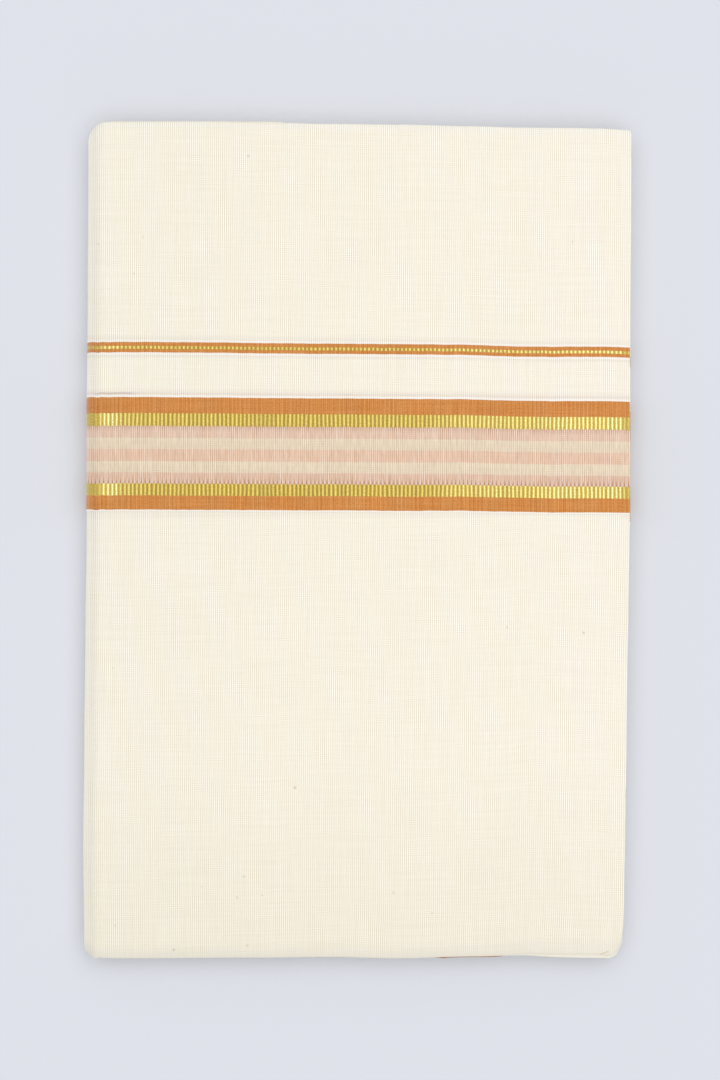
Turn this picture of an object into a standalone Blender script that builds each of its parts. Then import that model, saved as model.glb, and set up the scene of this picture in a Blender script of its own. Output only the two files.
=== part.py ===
"""A cotton dhoti with a woven border, pressed and put up as a flat shop fold.

The cloth is one uncut length. It is folded across its width into a strip of three plies, with a
fourth, the flap that carries the border, lying over them as far as its selvedge. The strip is then
halved four times along its length. The last halving makes the round spine on the left. The one
before it makes the round turn low on the right, and the free ends lie above that turn.

X runs across the fold, Y up along it with the border above the middle, and Z up from the surface.
"""

import math
from collections import namedtuple

import bmesh
import bpy

# Size of the fold, in metres
FOLD_WIDTH = 0.231
FOLD_LENGTH = 0.355
TOP_HEIGHT = 0.016
FOOT_HEIGHT = 0.0144

# Cloth: one ply, the wall of a folded leaf, and the room between two pieces
PLY = 0.0003
LEAF_WALL = 0.0013
PIECE_GAP = 0.0003
EDGE_ROUNDING = 0.00035

# Where the selvedge of the border flap lies, measured down from the top edge
FLAP_REACH = 0.1654

# Folds, as half widths seen along the fold
SPINE_DEPTH = 0.0055
TURN_DEPTH = 0.0030
TURN_HEIGHT = 0.0079
TURN_TUCK = 0.0080

# Corners, as radii seen from above
CORNER_TOP_LEFT = 0.0092
CORNER_TOP_RIGHT = 0.0009
CORNER_FOOT_RIGHT = 0.0070
CORNER_FOOT_LEFT = 0.0065

# Hidden layers: how far the cleft between two leaves goes in, how much of a leaf is round, how far
# along an edge a leaf takes to stand out, and half the height of the step at the turn's tuck
CLEFT_DEPTH = 0.0008
ROUND_SHARE = 0.24
REACH_FADE = 0.020
LEDGE = 0.00004

# How the tilt of the top edge dies away down the fold
TILT_POWER = 1.75

# Where the points lie along the outer leaf's section, measured in from the free end on top and from
# the spine, and how many spans there are on its runs, round its turns and along the fold
NEAR_FREE_END = (0.0, 0.0012, 0.0028, 0.0050, 0.0078, 0.0105, 0.0200)
NEAR_SPINE = (0.0060, 0.0038, 0.0018)
TOP_SPANS = 8
SPINE_SPANS = 12
UNDER_SPANS = 9
TURN_SPANS = 8
LENGTH_SPANS = 9

# The same for the outline of a hidden leaf: points near its corners, and spans between them
NEAR_CORNER = (0.0, 0.0005, 0.0014, 0.0030, 0.0055, 0.0090)
END_SPANS = 7
SIDE_SPANS = 12

# Finish: segments of the soft edges, the angles above which an edge is softened or drawn sharp, and
# how matt the cotton is
EDGE_SEGMENTS = 2
SOFTENED_ANGLE = math.radians(55)
SHARP_ANGLE = math.radians(40)
COTTON_ROUGHNESS = 0.85
BORDER_CREAM = (0.87, 0.80, 0.62, 1.0)
PLAIN_CREAM = (0.90, 0.86, 0.75, 1.0)
LAYER_CREAM = (0.84, 0.79, 0.68, 1.0)

HALF_WIDTH = FOLD_WIDTH / 2
HALF_LENGTH = FOLD_LENGTH / 2
SELVEDGE = HALF_LENGTH - FLAP_REACH
CORE_INSET = LEAF_WALL + PIECE_GAP

# Edges of the fold. along is where on the edge, out is how far the edge stands beyond the straight
# rectangle of the fold.
EdgeRow = namedtuple("EdgeRow", "along out")

LEFT_EDGE = (
    EdgeRow(along=-0.164, out=0.0012),
    EdgeRow(along=-0.132, out=0.0015),
    EdgeRow(along=-0.085, out=0.0010),
    EdgeRow(along=-0.038, out=0.0005),
    EdgeRow(along=0.000, out=0.0000),
    EdgeRow(along=0.042, out=-0.0001),
    EdgeRow(along=0.101, out=-0.0007),
    EdgeRow(along=0.168, out=-0.0010),
)
RIGHT_EDGE = (
    EdgeRow(along=-0.172, out=-0.0027),
    EdgeRow(along=-0.153, out=-0.0020),
    EdgeRow(along=-0.119, out=-0.0015),
    EdgeRow(along=-0.085, out=-0.0010),
    EdgeRow(along=-0.051, out=-0.0007),
    EdgeRow(along=-0.026, out=-0.0002),
    EdgeRow(along=0.017, out=0.0004),
    EdgeRow(along=0.080, out=0.0004),
    EdgeRow(along=0.163, out=0.0008),
)
TOP_EDGE = (
    EdgeRow(along=-0.109, out=-0.0002),
    EdgeRow(along=-0.065, out=-0.0001),
    EdgeRow(along=-0.040, out=-0.0007),
    EdgeRow(along=-0.015, out=-0.0013),
    EdgeRow(along=0.018, out=-0.0016),
    EdgeRow(along=0.046, out=-0.0023),
    EdgeRow(along=0.069, out=-0.0029),
    EdgeRow(along=0.090, out=-0.0030),
    EdgeRow(along=0.103, out=-0.0033),
    EdgeRow(along=0.115, out=-0.0040),
)
FOOT_EDGE = (
    EdgeRow(along=-0.104, out=0.0006),
    EdgeRow(along=-0.040, out=0.0003),
    EdgeRow(along=-0.008, out=0.0000),
    EdgeRow(along=0.018, out=0.0006),
    EdgeRow(along=0.052, out=-0.0002),
    EdgeRow(along=0.070, out=-0.0006),
    EdgeRow(along=0.090, out=0.0004),
    EdgeRow(along=0.106, out=0.0008),
)

# Leaves between the outer one's two sides, from the surface up. top, foot and right say how far the
# leaf stands out beyond the outer one at that edge, and a negative figure is a leaf that lies back.
# open is 1 where a cleft parts the leaf from the one below it on the right, and 0 where the two are
# one cloth that turns there. The lower seven lie inside the outer leaf's turn.
LeafRow = namedtuple("LeafRow", "top foot right open")

TURNED_LEAVES = (
    LeafRow(top=-0.0004, foot=-0.0006, right=0.0, open=0),
    LeafRow(top=-0.0010, foot=-0.0002, right=0.0, open=0),
    LeafRow(top=-0.0002, foot=-0.0009, right=0.0, open=0),
    LeafRow(top=-0.0007, foot=-0.0004, right=0.0, open=0),
    LeafRow(top=0.0001, foot=-0.0011, right=0.0, open=0),
)
TUCKED_LEAVES = (
    LeafRow(top=-0.0006, foot=-0.0003, right=0.0, open=0),
    LeafRow(top=-0.0011, foot=-0.0007, right=0.0, open=0),
)
FREE_LEAVES = (
    LeafRow(top=-0.0005, foot=0.0002, right=-0.0019, open=1),
    LeafRow(top=-0.0001, foot=-0.0005, right=-0.0010, open=0),
    LeafRow(top=-0.0008, foot=-0.0010, right=-0.0010, open=0),
    LeafRow(top=0.0002, foot=-0.0004, right=-0.0018, open=0),
    LeafRow(top=-0.0004, foot=-0.0008, right=0.0005, open=1),
    LeafRow(top=-0.0009, foot=-0.0004, right=0.0005, open=0),
    LeafRow(top=-0.0004, foot=-0.0001, right=0.0001, open=1),
)


def clamp(value):
    return max(0.0, min(1.0, value))


def read_edge(rows, along):
    """How far an edge stands out at a place, eased from row to row."""
    if along <= rows[0].along:
        return rows[0].out
    for here, there in zip(rows, rows[1:]):
        if along <= there.along:
            share = (along - here.along) / (there.along - here.along)
            eased = share * share * (3 - 2 * share)
            return here.out + (there.out - here.out) * eased
    return rows[-1].out


def lay(x, y, z):
    """Moves a point of the straight fold to where it lies in the real one."""
    across = clamp((x + HALF_WIDTH) / FOLD_WIDTH)
    up = clamp((y + HALF_LENGTH) / FOLD_LENGTH)
    left = -read_edge(LEFT_EDGE, y)
    right = read_edge(RIGHT_EDGE, y)
    foot = -read_edge(FOOT_EDGE, x)
    top = read_edge(TOP_EDGE, x)
    height = FOOT_HEIGHT + (TOP_HEIGHT - FOOT_HEIGHT) * up
    return (
        x + left + (right - left) * across,
        y + foot * (1 - up) + top * up**TILT_POWER,
        z * height / TOP_HEIGHT,
    )


def corner_drop(x, left_radius, right_radius):
    """How far an end edge has come back at x, through its rounded corners."""
    for radius, reach in ((left_radius, x + HALF_WIDTH), (right_radius, HALF_WIDTH - x)):
        if reach < radius:
            return radius - math.sqrt(radius**2 - (radius - max(reach, 0.0)) ** 2)
    return 0.0


def top_end(x):
    return HALF_LENGTH - corner_drop(x, CORNER_TOP_LEFT, CORNER_TOP_RIGHT)


def foot_end(x):
    return -HALF_LENGTH + corner_drop(x, CORNER_FOOT_LEFT, CORNER_FOOT_RIGHT)


# A place on the section of the outer leaf: where its outer face is, which way that face looks, and
# how much of the missing flap shows as a step there.
SectionPoint = namedtuple("SectionPoint", "x z out_x out_z step")


def leaf_section():
    """The outer leaf cut across: over the top, round the spine, back below and up the turn."""
    points = []
    spine_start = -HALF_WIDTH + SPINE_DEPTH
    top_start = HALF_WIDTH - NEAR_FREE_END[-1]
    top_run = top_start - NEAR_SPINE[0] - spine_start
    top_xs = [HALF_WIDTH - reach for reach in NEAR_FREE_END]
    top_xs += [top_start - top_run * number / TOP_SPANS for number in range(1, TOP_SPANS)]
    top_xs += [spine_start + reach for reach in NEAR_SPINE]
    for x in top_xs:
        points.append(SectionPoint(x, TOP_HEIGHT, 0, 1, 1))
    for number in range(SPINE_SPANS + 1):
        turn = math.pi / 2 - math.pi * number / SPINE_SPANS
        points.append(
            SectionPoint(
                spine_start - SPINE_DEPTH * math.cos(turn),
                TOP_HEIGHT / 2 * (1 + math.sin(turn)),
                *ellipse_normal(-math.cos(turn), math.sin(turn), SPINE_DEPTH, TOP_HEIGHT / 2),
                clamp(0.5 + math.sin(turn)),
            )
        )
    turn_start = HALF_WIDTH - TURN_DEPTH
    for number in range(1, UNDER_SPANS):
        x = spine_start + (turn_start - spine_start) * number / UNDER_SPANS
        points.append(SectionPoint(x, 0, 0, -1, 0))
    for number in range(TURN_SPANS + 1):
        turn = -math.pi / 2 + math.pi * number / TURN_SPANS
        points.append(
            SectionPoint(
                turn_start + TURN_DEPTH * math.cos(turn),
                TURN_HEIGHT / 2 * (1 + math.sin(turn)),
                *ellipse_normal(math.cos(turn), math.sin(turn), TURN_DEPTH, TURN_HEIGHT / 2),
                0,
            )
        )
    points.append(SectionPoint(turn_start - TURN_TUCK, TURN_HEIGHT, 0, 1, 0))
    return points


def ellipse_normal(cosine, sine, half_x, half_z):
    length = math.hypot(cosine / half_x, sine / half_z)
    return cosine / half_x / length, sine / half_z / length


def leaf_skin(section, depths, y_from, y_to):
    """Columns of points over one face of the leaf, each at its own depth under the outer face."""
    columns = []
    for point, depth in zip(section, depths):
        x = point.x - point.out_x * depth
        z = point.z - point.out_z * depth
        start = y_from(x)
        run = y_to(x) - start
        ys = [start + run * row / LENGTH_SPANS for row in range(LENGTH_SPANS + 1)]
        columns.append([lay(x, y, z) for y in ys])
    return columns


def add_grid(mesh, columns, flip):
    """Adds a sheet of quads over the columns and returns its vertices."""
    verts = [[mesh.verts.new(point) for point in column] for column in columns]
    for left, right in zip(verts, verts[1:]):
        for low in range(len(left) - 1):
            corners = [left[low], right[low], right[low + 1], left[low + 1]]
            mesh.faces.new(corners[::-1] if flip else corners)
    return verts


def make_leaf(name, y_from, y_to, step, colour):
    """One stretch of the outer leaf, as a wall with soft edges."""
    section = leaf_section()
    outer = leaf_skin(section, [step * point.step for point in section], y_from, y_to)
    inner = leaf_skin(section, [LEAF_WALL] * len(section), y_from, y_to)
    mesh = bmesh.new()
    outer_verts = add_grid(mesh, outer, flip=True)
    inner_verts = add_grid(mesh, inner, flip=False)
    rim_pairs = []
    for row in (0, -1):
        edge = [(o[row], i[row]) for o, i in zip(outer_verts, inner_verts)]
        rim_pairs.append(edge)
    for column in (0, -1):
        edge = list(zip(outer_verts[column], inner_verts[column]))
        rim_pairs.append(edge)
    for edge in rim_pairs:
        for (outer_a, inner_a), (outer_b, inner_b) in zip(edge, edge[1:]):
            mesh.faces.new((outer_a, outer_b, inner_b, inner_a))
    bmesh.ops.recalc_face_normals(mesh, faces=mesh.faces)
    obj = finish(name, mesh, colour)
    soft_edge = obj.modifiers.new("Soft edges", "BEVEL")
    soft_edge.width = EDGE_ROUNDING
    soft_edge.segments = EDGE_SEGMENTS
    soft_edge.limit_method = "ANGLE"
    soft_edge.angle_limit = SOFTENED_ANGLE
    return obj


def core_side(z, depth, centre, half_height):
    """How far a hidden leaf lies in from the side, where the outer leaf turns round it."""
    sine = (z - centre) / (half_height - CORE_INSET)
    cosine = math.sqrt(max(0.0, 1 - sine * sine))
    return depth - (depth - CORE_INSET) * cosine


def core_ring(z, left_inset, right_inset, top_out, foot_out):
    """The outline of the hidden layers at one height, counter-clockwise from above."""
    left = -HALF_WIDTH + left_inset
    right = HALF_WIDTH - right_inset
    near_left = left + NEAR_CORNER[-1]
    run = right - NEAR_CORNER[-1] - near_left
    end_xs = [left + reach for reach in NEAR_CORNER]
    end_xs += [near_left + run * number / END_SPANS for number in range(1, END_SPANS)]
    end_xs += [right - reach for reach in reversed(NEAR_CORNER)]
    foot_y = [foot_end(x) - foot_out * reach_share(x, foot_out) for x in end_xs]
    top_y = [top_end(x) + top_out * reach_share(x, top_out) for x in end_xs]
    ring = [(x, y) for x, y in zip(end_xs, foot_y)]
    for number in range(1, SIDE_SPANS):
        ring.append((right, foot_y[-1] + (top_y[-1] - foot_y[-1]) * number / SIDE_SPANS))
    ring += [(x, y) for x, y in zip(reversed(end_xs), reversed(top_y))]
    for number in range(1, SIDE_SPANS):
        ring.append((left, top_y[0] + (foot_y[0] - top_y[0]) * number / SIDE_SPANS))
    return [lay(x, y, z) for x, y in ring]


def reach_share(x, out):
    """A leaf that stands out does so only clear of the corner at the spine."""
    if out <= 0:
        return 1.0
    return clamp((x + HALF_WIDTH - CORNER_FOOT_LEFT) / REACH_FADE)


def free_side(row, cleft):
    return cleft - row.right


def turned_side(z):
    return core_side(z, TURN_DEPTH, TURN_HEIGHT / 2, TURN_HEIGHT / 2)


def hidden_rings():
    """The outlines of the hidden layers, from the lowest leaf up."""
    tuck_side = TURN_DEPTH + TURN_TUCK + PIECE_GAP
    tuck_low = TURN_HEIGHT - CORE_INSET
    tuck_high = TURN_HEIGHT + PIECE_GAP
    top = TOP_HEIGHT - CORE_INSET
    groups = (
        (TURNED_LEAVES, CORE_INSET, tuck_low - LEDGE, lambda z, row, cleft: turned_side(z)),
        (TUCKED_LEAVES, tuck_low, tuck_high - LEDGE, lambda z, row, cleft: tuck_side),
        (FREE_LEAVES, tuck_high, top, lambda z, row, cleft: free_side(row, cleft)),
    )
    rings = []
    for rows, low, high, side in groups:
        leaf = (high - low) / len(rows)
        for number, row in enumerate(rows):
            for share, depth in ((0, CLEFT_DEPTH), (ROUND_SHARE, 0), (1 - ROUND_SHARE, 0)):
                z = low + leaf * (number + share)
                rings.append(hidden_ring(z, row, depth, side(z, row, depth * row.open)))
        rings.append(hidden_ring(high, rows[-1], CLEFT_DEPTH, side(high, rows[-1], CLEFT_DEPTH)))
    return rings


def hidden_ring(z, row, cleft, right):
    left = core_side(z, SPINE_DEPTH, TOP_HEIGHT / 2, TOP_HEIGHT / 2)
    return core_ring(z, left, right, row.top - cleft, row.foot - cleft)


def make_hidden_layers(colour):
    """The leaves inside, as one rounded solid with a cleft between each two at its edges."""
    mesh = bmesh.new()
    loops = [[mesh.verts.new(point) for point in ring] for ring in hidden_rings()]
    for low, high in zip(loops, loops[1:]):
        for here in range(len(low)):
            there = (here + 1) % len(low)
            mesh.faces.new((low[here], low[there], high[there], high[here]))
    mesh.faces.new(loops[0][::-1])
    mesh.faces.new(loops[-1])
    bmesh.ops.recalc_face_normals(mesh, faces=mesh.faces)
    return finish("hidden_layers", mesh, colour)


def finish(name, mesh, colour):
    """Makes the named object of a mesh, with its own cotton material."""
    data = bpy.data.meshes.new(name)
    mesh.to_mesh(data)
    mesh.free()
    data.shade_smooth()
    data.set_sharp_from_angle(angle=SHARP_ANGLE)
    cotton = bpy.data.materials.new(name + "_cotton")
    cotton.use_nodes = True
    shader = cotton.node_tree.nodes["Principled BSDF"]
    shader.inputs["Base Color"].default_value = colour
    shader.inputs["Roughness"].default_value = COTTON_ROUGHNESS
    shader.inputs["Metallic"].default_value = 0.0
    data.materials.append(cotton)
    obj = bpy.data.objects.new(name, data)
    pieces.objects.link(obj)
    return obj


for leftover in list(bpy.data.objects):
    bpy.data.objects.remove(leftover, do_unlink=True)

pieces = bpy.data.collections.new("folded_dhoti")
bpy.context.scene.collection.children.link(pieces)

make_leaf("border_leaf", lambda x: SELVEDGE, top_end, 0.0, BORDER_CREAM)
make_leaf("plain_leaf", foot_end, lambda x: SELVEDGE - PIECE_GAP, PLY, PLAIN_CREAM)
make_hidden_layers(LAYER_CREAM)
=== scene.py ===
import math
from collections import namedtuple

import bmesh
import bpy
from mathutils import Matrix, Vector


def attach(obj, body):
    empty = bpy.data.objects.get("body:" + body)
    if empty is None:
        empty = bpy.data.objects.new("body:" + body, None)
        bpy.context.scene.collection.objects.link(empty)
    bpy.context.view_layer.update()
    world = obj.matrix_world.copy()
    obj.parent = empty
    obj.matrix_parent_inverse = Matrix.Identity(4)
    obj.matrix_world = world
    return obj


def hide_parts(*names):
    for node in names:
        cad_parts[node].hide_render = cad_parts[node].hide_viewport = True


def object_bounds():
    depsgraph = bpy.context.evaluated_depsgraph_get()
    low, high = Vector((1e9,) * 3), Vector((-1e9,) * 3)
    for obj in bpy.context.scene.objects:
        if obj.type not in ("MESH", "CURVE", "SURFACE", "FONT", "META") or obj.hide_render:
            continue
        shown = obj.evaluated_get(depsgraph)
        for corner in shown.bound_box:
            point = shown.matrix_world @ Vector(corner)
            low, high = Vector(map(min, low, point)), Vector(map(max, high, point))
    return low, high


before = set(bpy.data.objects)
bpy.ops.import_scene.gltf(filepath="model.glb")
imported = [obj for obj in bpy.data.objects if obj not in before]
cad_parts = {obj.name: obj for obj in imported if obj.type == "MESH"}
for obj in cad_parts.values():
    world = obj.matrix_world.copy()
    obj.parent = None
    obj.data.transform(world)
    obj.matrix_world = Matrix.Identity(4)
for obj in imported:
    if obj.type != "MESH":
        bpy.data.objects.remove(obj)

solid_box = [list(corner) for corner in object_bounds()]

# Camera. The fold lies on a table and is seen from straight above. The upright picture is 1080 of
# its own dots tall, and one dot takes in 0.42 mm of the cloth's upper face.
PICTURE_TALL = 1080
DOT = 0.0004239
CAMERA_RISE = 1.09
FILM = 36.0
PICTURE_MIDDLE = (0.00142, -0.00025)
STACK_HEIGHT = solid_box[1][2]

lens = bpy.data.cameras.new("from_above")
lens.sensor_width = FILM
lens.lens = FILM * CAMERA_RISE / (PICTURE_TALL * DOT)
lens.clip_start = 0.01
camera = bpy.data.objects.new("from_above", lens)
camera.location = (*PICTURE_MIDDLE, STACK_HEIGHT + CAMERA_RISE)
bpy.context.scene.collection.objects.link(camera)
bpy.context.scene.camera = camera
bpy.context.scene.view_settings.view_transform = "Standard"


# Table. A plain board in a matt pale blue-grey paint, lit so evenly that only a soft shadow shows
# round the cloth. It reaches far past the picture on all sides.
def look(red, green, blue):
    """A colour as it looks in the finished picture, 0 to 255, turned into light."""
    parts = []
    for part in (red, green, blue):
        share = part / 255
        parts.append(share / 12.92 if share <= 0.04045 else ((share + 0.055) / 1.055) ** 2.4)
    return parts


WHITE_IN_THIS_LIGHT = 1.10


def dye(red, green, blue):
    """The colour to give a yarn so that it looks like this under the lamp."""
    return (*(part / WHITE_IN_THIS_LIGHT for part in look(red, green, blue)), 1.0)


def node(tree, kind, inputs=(), **settings):
    """Adds a shader node, with its settings, and its inputs as values or as links."""
    made = tree.nodes.new("ShaderNode" + kind)
    for name, value in settings.items():
        setattr(made, name, value)
    for key, value in dict(inputs).items():
        if isinstance(value, bpy.types.NodeSocket):
            tree.links.new(value, made.inputs[key])
        else:
            made.inputs[key].default_value = value
    return made


TABLE_COLOUR = (225.7, 228.3, 236.2)
TABLE_REACH = 14.0
TABLE_CLEARANCE = 0.00005

board = bmesh.new()
bmesh.ops.create_grid(board, x_segments=2, y_segments=2, size=TABLE_REACH)
for corner in board.verts:
    corner.co.z = -TABLE_CLEARANCE
board_mesh = bpy.data.meshes.new("table")
board.to_mesh(board_mesh)
board.free()
table = bpy.data.objects.new("table", board_mesh)
bpy.context.scene.collection.objects.link(table)
paint = bpy.data.materials.new("table_paint")
paint.use_nodes = True
paint.node_tree.nodes.clear()
matt = node(paint.node_tree, "BsdfDiffuse", {"Color": dye(*TABLE_COLOUR)})
node(paint.node_tree, "OutputMaterial", {"Surface": matt.outputs[0]})
board_mesh.materials.append(paint)

# Light. One broad round lamp hangs over the fold, a little towards its top edge and its open side,
# and the pale room fills in from all sides.
LAMP_RISE = 8.0
LAMP_RADIUS = 6.75
LAMP_SHIFT = (0.95, 1.04)
LAMP_SHARE = 0.50
LAMP_TINT = (1.0, 0.995, 0.985)
ROOM_TINT = (0.975, 0.990, 0.9925, 1.0)

spread = math.sin(math.atan(LAMP_RADIUS / LAMP_RISE)) ** 2
lamp_area = math.pi * LAMP_RADIUS**2
lamp_data = bpy.data.lights.new("lamp", "AREA")
lamp_data.shape = "DISK"
lamp_data.size = 2 * LAMP_RADIUS
lamp_data.energy = LAMP_SHARE * WHITE_IN_THIS_LIGHT * math.pi * lamp_area / spread
lamp_data.color = LAMP_TINT
lamp = bpy.data.objects.new("lamp", lamp_data)
lamp.location = (*LAMP_SHIFT, LAMP_RISE)
lamp.visible_camera = False
bpy.context.scene.collection.objects.link(lamp)
room = bpy.data.worlds.new("pale_room")
room.use_nodes = True
sky = room.node_tree.nodes["Background"]
sky.inputs["Color"].default_value = ROOM_TINT
sky.inputs["Strength"].default_value = (1 - LAMP_SHARE) * WHITE_IN_THIS_LIGHT
bpy.context.scene.world = room

# Outer leaf. The start of one uncut length of plain-woven cotton, 1.23 m wide. It is folded across
# its width into three plies, with the bordered edge over them as a flap, and then laid over the
# stack from the right, round the spine, back underneath and up into the first turn.
CLOTH_WIDTH = 1.2304
FLAP_REACH = 0.1654
FOLD_WIDTH = 0.231
FOLD_LENGTH = 0.355
FOOT_HEIGHT = 0.0144
HALF_WIDTH = FOLD_WIDTH / 2
HALF_LENGTH = FOLD_LENGTH / 2
LEAVES = 16
LEAF = STACK_HEIGHT / LEAVES
PLY_THICKNESS = 0.0002

# How deep each of the four plies lies in its leaf, from the bordered face to the back
PLY_DEPTHS = (0.14, 0.38, 0.62, 0.86)
CREASE_BULGE = 0.00018
CREASE_CLOTH = 0.0003

# The turns at the spine and on the right, and how far the cloth's last end stands out there
SPINE_REACH = 0.0070
SPINE_START = -HALF_WIDTH + SPINE_REACH
SPINE_FULLNESS = 2.8
TURN_FULLNESS = 2.1
FREE_END_OUT = 0.0001

# The four corners as seen from above. bend is 2 where the corner is round and 1 where it is cut
# straight across. CORNER_YIELD says how far in the cloth gives way, in the corner's own heights.
Corner = namedtuple("Corner", "wide tall bend")
TOP_LEFT = Corner(wide=0.0092, tall=0.0092, bend=2.0)
TOP_RIGHT = Corner(wide=0.0009, tall=0.0009, bend=2.0)
FOOT_RIGHT = Corner(wide=0.0037, tall=0.0066, bend=1.2)
FOOT_LEFT = Corner(wide=0.0072, tall=0.0074, bend=2.2)
CORNER_YIELD = 2.5

# How the top edge's tilt dies away down the fold
TILT_POWER = 1.75

# How the stack rounds down at its two ends: reach is how far in, drop the share of its height that
# goes, and power how late it goes
EndRounding = namedtuple("EndRounding", "reach drop power")
FOOT_END = EndRounding(reach=0.0065, drop=0.12, power=2.4)
TOP_END = EndRounding(reach=0.0026, drop=0.035, power=2.2)

# The slow swell of the pressed stack, as shares of its height, and the wander of a leaf's edge
LONG_SWELL = 0.006
SHORT_SWELL = 0.0025
LONG_WANDER = 0.00022
SHORT_WANDER = 0.00010

# How far the third and the last ply stop short of the first two in every leaf but the top one
THIRD_PLY_BACK = 0.0003
LAST_PLY_BACK = 0.0005

EdgeRow = namedtuple("EdgeRow", "along out")

LEFT_EDGE = (
    EdgeRow(along=-0.164, out=0.0012),
    EdgeRow(along=-0.132, out=0.0015),
    EdgeRow(along=-0.085, out=0.0010),
    EdgeRow(along=-0.038, out=0.0005),
    EdgeRow(along=0.000, out=0.0000),
    EdgeRow(along=0.042, out=-0.0001),
    EdgeRow(along=0.101, out=-0.0007),
    EdgeRow(along=0.168, out=-0.0010),
)
RIGHT_EDGE = (
    EdgeRow(along=-0.172, out=-0.0027),
    EdgeRow(along=-0.153, out=-0.0020),
    EdgeRow(along=-0.119, out=-0.0015),
    EdgeRow(along=-0.085, out=-0.0010),
    EdgeRow(along=-0.051, out=-0.0007),
    EdgeRow(along=-0.026, out=-0.0002),
    EdgeRow(along=0.017, out=0.0004),
    EdgeRow(along=0.080, out=0.0004),
    EdgeRow(along=0.163, out=0.0008),
)
TOP_EDGE = (
    EdgeRow(along=-0.109, out=-0.0002),
    EdgeRow(along=-0.065, out=-0.0001),
    EdgeRow(along=-0.040, out=-0.0007),
    EdgeRow(along=-0.015, out=-0.0013),
    EdgeRow(along=0.018, out=-0.0016),
    EdgeRow(along=0.046, out=-0.0023),
    EdgeRow(along=0.069, out=-0.0029),
    EdgeRow(along=0.090, out=-0.0030),
    EdgeRow(along=0.103, out=-0.0033),
    EdgeRow(along=0.115, out=-0.0040),
)
FOOT_EDGE = (
    EdgeRow(along=-0.1132, out=0.0001),
    EdgeRow(along=-0.1102, out=0.0010),
    EdgeRow(along=-0.1080, out=0.0001),
    EdgeRow(along=-0.1040, out=0.0006),
    EdgeRow(along=-0.040, out=0.0003),
    EdgeRow(along=-0.008, out=0.0000),
    EdgeRow(along=0.018, out=0.0006),
    EdgeRow(along=0.052, out=-0.0002),
    EdgeRow(along=0.070, out=-0.0006),
    EdgeRow(along=0.090, out=0.0004),
    EdgeRow(along=0.106, out=0.0008),
)

# Plies that peep out on the outer leaf: at the top left the third ply shows above the first, at the
# foot a little of the far border shows on the right of the middle, and further right the leaf lies
# back so that the next one shows below it.
THIRD_PLY_OUT = (
    EdgeRow(along=-0.065, out=0.0),
    EdgeRow(along=-0.039, out=0.0004),
    EdgeRow(along=-0.033, out=0.0003),
    EdgeRow(along=-0.027, out=-0.0004),
)
FIRST_PLY_OUT = (
    EdgeRow(along=-0.036, out=-0.0004),
    EdgeRow(along=-0.029, out=0.0),
)
FAR_BORDER_OUT = (
    EdgeRow(along=0.0340, out=-0.0002),
    EdgeRow(along=0.0365, out=0.00070),
    EdgeRow(along=0.0440, out=0.00042),
    EdgeRow(along=0.0520, out=0.00058),
    EdgeRow(along=0.0600, out=0.00092),
    EdgeRow(along=0.0650, out=0.00088),
    EdgeRow(along=0.0690, out=-0.0004),
)
LEAF_LIES_BACK = (
    EdgeRow(along=0.066, out=0.0),
    EdgeRow(along=0.074, out=-0.0012),
    EdgeRow(along=0.090, out=-0.0018),
    EdgeRow(along=0.104, out=-0.0021),
    EdgeRow(along=0.112, out=-0.0016),
)

# Leaves in the order that the cloth runs through them. level counts down from the top of the stack.
# top and foot say how far the leaf stands out beyond the outer one at those edges.
LeafRow = namedtuple("LeafRow", "level top foot")

LEAF_ROWS = (
    LeafRow(level=1, top=0.0, foot=0.0),
    LeafRow(level=16, top=-0.0002, foot=-0.0001),
    LeafRow(level=9, top=-0.0011, foot=-0.0007),
    LeafRow(level=8, top=-0.0005, foot=0.0002),
    LeafRow(level=5, top=0.0002, foot=-0.0004),
    LeafRow(level=12, top=-0.0007, foot=-0.0004),
    LeafRow(level=13, top=-0.0002, foot=-0.0009),
    LeafRow(level=4, top=-0.0004, foot=-0.0008),
    LeafRow(level=3, top=-0.0009, foot=-0.0004),
    LeafRow(level=14, top=-0.0010, foot=-0.0002),
    LeafRow(level=11, top=0.0001, foot=-0.0011),
    LeafRow(level=6, top=-0.0008, foot=-0.0010),
    LeafRow(level=7, top=-0.0001, foot=-0.0005),
    LeafRow(level=10, top=-0.0006, foot=-0.0003),
    LeafRow(level=15, top=-0.0004, foot=-0.0006),
    LeafRow(level=2, top=-0.0004, foot=-0.0001),
)

# Turns between one leaf and the next. half is half the height of the whole nest of turns in leaves,
# nest its place in the nest from outside, and middle the height of its centre in leaves. reach is how
# far the nest stands out from the flat leaves, and edge how far it ends past the fold's right side.
TurnRow = namedtuple("TurnRow", "nest half middle reach edge")

SPINE_NESTS = (0, 7, 4, 3, 2, 5, 6, 1)
TURN_ROWS = (
    TurnRow(nest=0, half=4, middle=4, reach=0.0030, edge=0.0),
    TurnRow(nest=0, half=2, middle=10, reach=0.0016, edge=-0.0010),
    TurnRow(nest=3, half=4, middle=4, reach=0.0030, edge=0.0),
    TurnRow(nest=0, half=1, middle=13, reach=0.0009, edge=0.00055),
    TurnRow(nest=2, half=4, middle=4, reach=0.0030, edge=0.0),
    TurnRow(nest=1, half=2, middle=10, reach=0.0016, edge=-0.0010),
    TurnRow(nest=1, half=4, middle=4, reach=0.0030, edge=0.0),
)

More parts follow.
